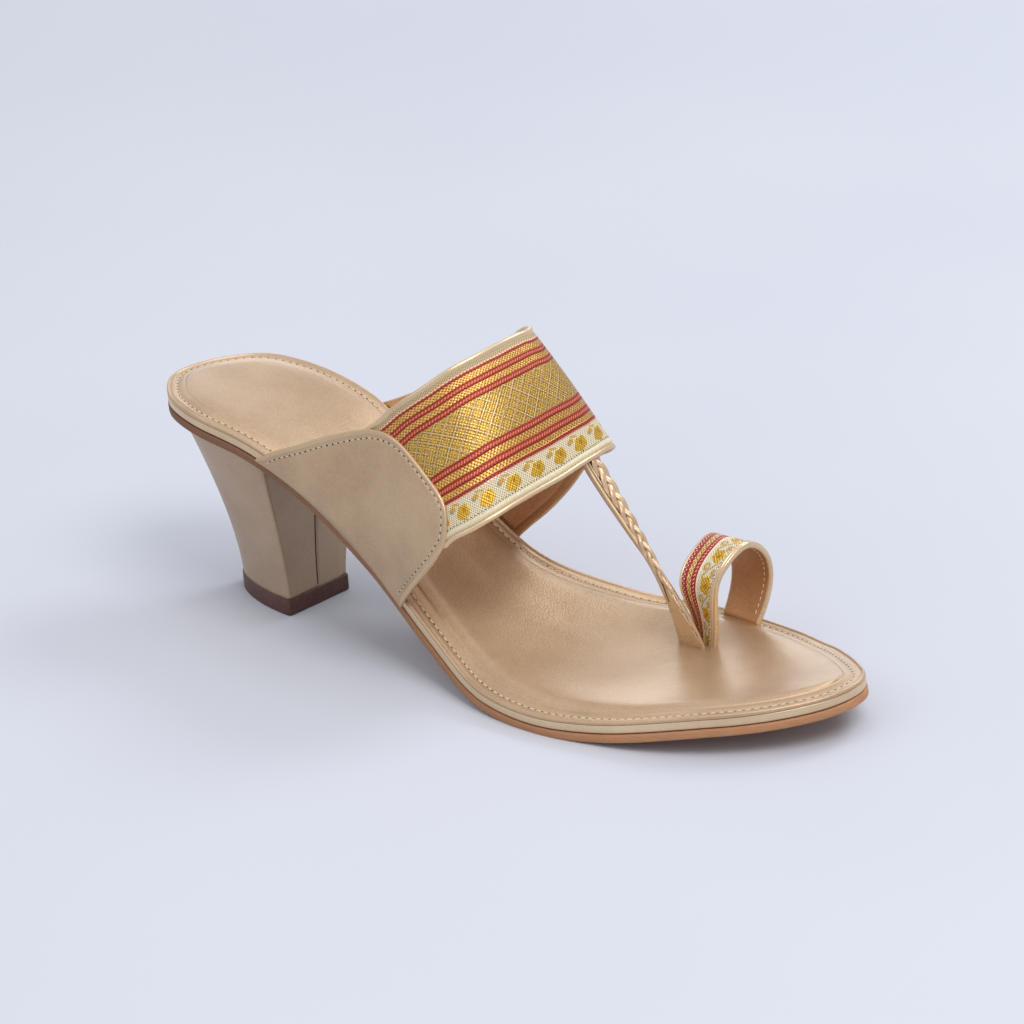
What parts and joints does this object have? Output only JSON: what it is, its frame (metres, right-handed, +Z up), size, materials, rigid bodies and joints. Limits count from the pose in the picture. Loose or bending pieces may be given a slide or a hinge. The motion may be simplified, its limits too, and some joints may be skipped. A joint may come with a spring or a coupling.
{
  "type": "kolhapuri sandal",
  "caption": "Heeled kolhapuri sandal for the right foot: brocade instep band on plain side panels, thong with braid, toe loop, block heel and thin outsole.",
  "frame": {"origin": "centre of the bounding box in plan, on the floor under the sandal", "axes": "+X from the heel to the toe, +Y to the medial (big toe) side, +Z up; the sandal stands on its top lift and forefoot tread at z = 0"},
  "size_m": [0.2406, 0.0872, 0.0945],
  "materials": {
    "outsole_sheet": "tan sheet sole, matt cut edge",
    "wrap": "champagne metallic synthetic leather",
    "footbed_cover": "champagne metallic synthetic leather, softly padded",
    "heel_wrap": "champagne metallic synthetic leather, wrapped",
    "lift_rubber": "dark brown, matt",
    "strap": "champagne synthetic leather side panels with a woven brocade instep band",
    "loop_ribbon": "woven brocade ribbon with gold binding"
  },
  "bodies": {
    "root": {"outsole": "outsole_sheet", "insole_board": "wrap", "footbed": "footbed_cover", "heel_block": "heel_wrap", "top_lift": "lift_rubber", "upper": "strap", "toe_loop": "loop_ribbon"}
  },
  "joints": []
}
